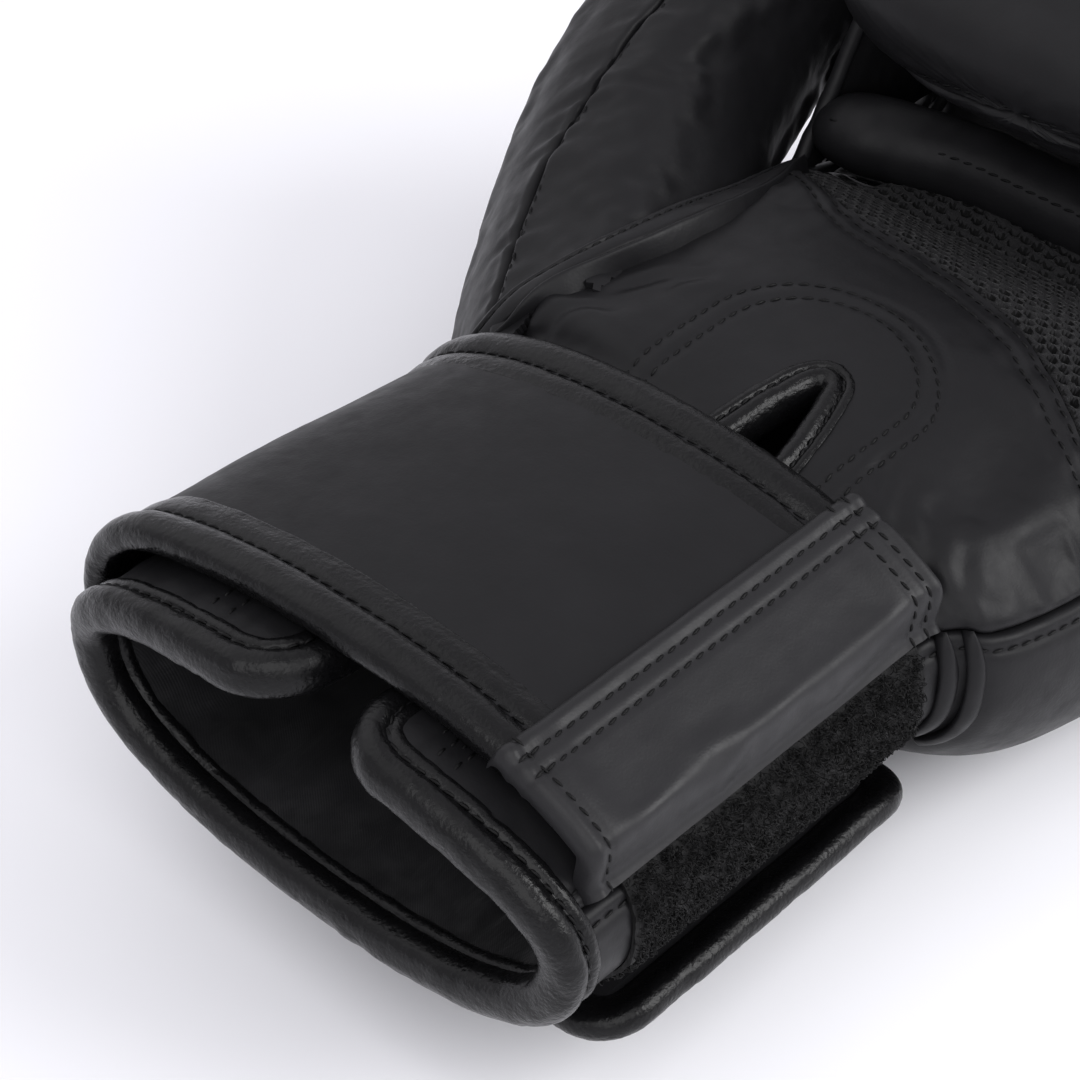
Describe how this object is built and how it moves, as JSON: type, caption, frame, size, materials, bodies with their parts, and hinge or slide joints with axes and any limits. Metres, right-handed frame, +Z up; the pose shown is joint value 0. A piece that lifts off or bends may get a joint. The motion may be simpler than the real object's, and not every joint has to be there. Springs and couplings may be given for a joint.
{
  "type": "boxing glove",
  "caption": "Padded boxing glove with a curled finger section, thumb, slit cuff and a wide wrap-round wrist strap with a hook-and-loop end.",
  "frame": {"origin": "under the middle of the glove's bounding box, on the plane it rests on", "axes": "+Y from the wrist opening to the knuckles, +X towards the little-finger side, +Z up out of the palm"},
  "size_m": [0.1978, 0.3112, 0.1359],
  "materials": {
    "matte_leather": "matt grained leather",
    "gloss_leather": "satin grained leather",
    "padding_foam": "closed-cell foam",
    "gel": "soft gel",
    "satin_lining": "wrinkled nylon satin",
    "air_mesh": "open air mesh",
    "loop_pile": "fuzzy loop pile",
    "hook_tape": "moulded hooks"
  },
  "bodies": {
    "hand_and_cuff": {"cuff_back_cover": "matte_leather", "cuff_back_foam": "padding_foam", "cuff_thumb_flap_cover": "matte_leather", "cuff_thumb_flap_foam": "padding_foam", "cuff_little_flap_cover": "matte_leather", "cuff_little_flap_foam": "padding_foam", "cuff_lining": "satin_lining", "edge_binding": "gloss_leather", "loop_field": "loop_pile", "palm_cover": "matte_leather", "palm_mesh_panel": "air_mesh", "finger_inner_cover": "matte_leather", "hand_back_cover": "matte_leather", "knuckle_cover": "matte_leather", "palm_foam": "padding_foam", "finger_inner_foam": "padding_foam", "finger_tip_inner_foam": "padding_foam", "hand_back_foam": "padding_foam", "hand_back_soft_foam": "padding_foam", "knuckle_foam": "padding_foam", "knuckle_gel_pad": "gel", "fingertip_foam": "padding_foam", "hand_lining": "satin_lining", "palm_reinforcement": "matte_leather", "grip_bar_core": "padding_foam", "grip_bar_cover": "matte_leather", "thumb_welt": "matte_leather", "thumb_tether": "gloss_leather", "strap_anchor_patch": "matte_leather", "strap_anchor_web": "matte_leather", "strap_anchor_wrist_binding": "gloss_leather", "strap_anchor_hand_binding": "gloss_leather"},
    "thumb": {"thumb_outer_cover": "matte_leather", "thumb_inner_cover": "matte_leather", "thumb_foam": "padding_foam", "thumb_lining": "satin_lining"},
    "strap_palm_run": {"strap_palm_web": "matte_leather", "strap_palm_wrist_binding": "gloss_leather", "strap_palm_hand_binding": "gloss_leather"},
    "strap_side_run": {"strap_side_web": "matte_leather", "strap_side_wrist_binding": "gloss_leather", "strap_side_hand_binding": "gloss_leather"},
    "strap_back_run": {"strap_back_web": "matte_leather", "strap_back_wrist_binding": "gloss_leather", "strap_back_hand_binding": "gloss_leather"},
    "strap_tab": {"strap_tab_web": "matte_leather", "strap_tab_binding": "gloss_leather", "strap_hook_tape": "hook_tape"}
  },
  "joints": [
    {"name": "thumb_flex", "type": "hinge", "parent": "hand_and_cuff", "child": "thumb", "pos_m": [-0.02207, -0.03411, 0.05], "axis": [0, 0, 1], "range_deg": [-2, 8], "deforming": ["thumb_tether"]},
    {"name": "strap_open", "type": "hinge", "parent": "hand_and_cuff", "child": "strap_palm_run", "pos_m": [0.05414, -0.09111, 0.0816], "axis": [0, 1, 0], "range_deg": [0, 30]},
    {"name": "strap_side_bend", "type": "hinge", "parent": "strap_palm_run", "child": "strap_side_run", "pos_m": [-0.03236, -0.09111, 0.0768], "axis": [0, 1, 0], "range_deg": [0, 75]},
    {"name": "strap_back_bend", "type": "hinge", "parent": "strap_side_run", "child": "strap_back_run", "pos_m": [-0.03367, -0.09111, 0.0248], "axis": [0, 1, 0], "range_deg": [0, 75]},
    {"name": "strap_tab_peel", "type": "hinge", "parent": "strap_back_run", "child": "strap_tab", "pos_m": [0.04564, -0.09111, 0.0167], "axis": [0, 1, 0], "range_deg": [0, 60]}
  ],
  "couplings": [
    {"joint": "strap_side_bend", "follows": "strap_open", "ratio": 2.5},
    {"joint": "strap_back_bend", "follows": "strap_open", "ratio": 2.5}
  ]
}
